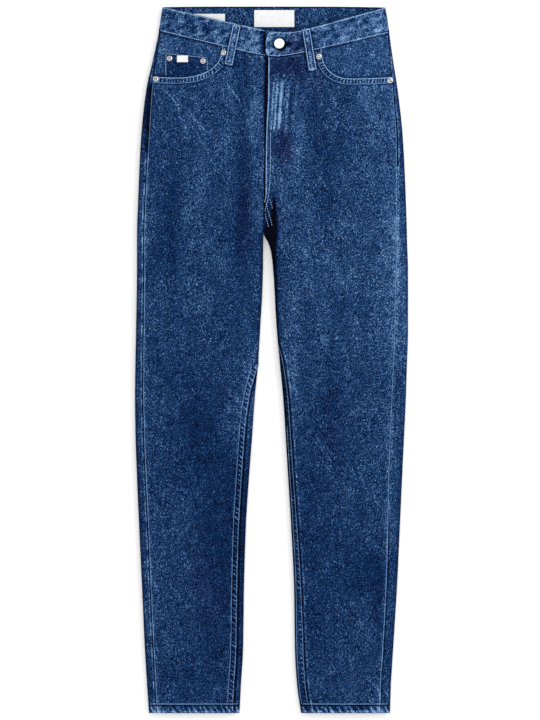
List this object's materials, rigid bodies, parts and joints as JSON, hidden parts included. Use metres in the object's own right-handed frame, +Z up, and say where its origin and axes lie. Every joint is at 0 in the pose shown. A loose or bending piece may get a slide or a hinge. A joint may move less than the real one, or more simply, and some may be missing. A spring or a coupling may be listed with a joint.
{
  "type": "relaxed fit jeans",
  "caption": "Tapered five-pocket denim jeans laid flat, front up, with a dipped waistband, belt loops, curved pocket mouths, metal button and rivets, open waist and open hems.",
  "frame": {"origin": "centre of the bounding box at the height of the surface that the jeans lie on", "axes": "+Z up out of that surface, +Y along the jeans towards the waist, +X to the wearer's left (the right of the picture)"},
  "size_m": [0.4231, 1.095, 0.0207],
  "materials": {
    "denim": "stone-washed mid-blue cotton twill",
    "facing_denim": "stone-washed cotton twill, a little lighter",
    "label_cloth": "plain white woven tape, bare",
    "zip_tape": "dark woven tape",
    "silver_metal": "bright silver-coloured, plain"
  },
  "bodies": {
    "root": {"front_right": "denim", "front_left": "denim", "back_right": "denim", "back_left": "denim", "yoke_right": "denim", "yoke_left": "denim", "waistband_right": "denim", "waistband_left": "denim", "pocket_facing_right": "facing_denim", "pocket_facing_left": "facing_denim", "coin_pocket": "denim", "coin_tab": "label_cloth", "back_pocket_right": "denim", "back_pocket_left": "denim", "belt_loop_front_right": "denim", "belt_loop_front_left": "denim", "belt_loop_back_right": "denim", "belt_loop_back_centre": "denim", "belt_loop_back_left": "denim", "zip": "zip_tape", "waist_label": "label_cloth", "side_label": "label_cloth", "waist_button": "silver_metal", "rivet_coin_outer": "silver_metal", "rivet_coin_inner": "silver_metal", "rivet_pocket_right_inner": "silver_metal", "rivet_pocket_right_outer": "silver_metal", "rivet_pocket_left_inner": "silver_metal", "rivet_pocket_left_outer": "silver_metal"}
  },
  "joints": []
}
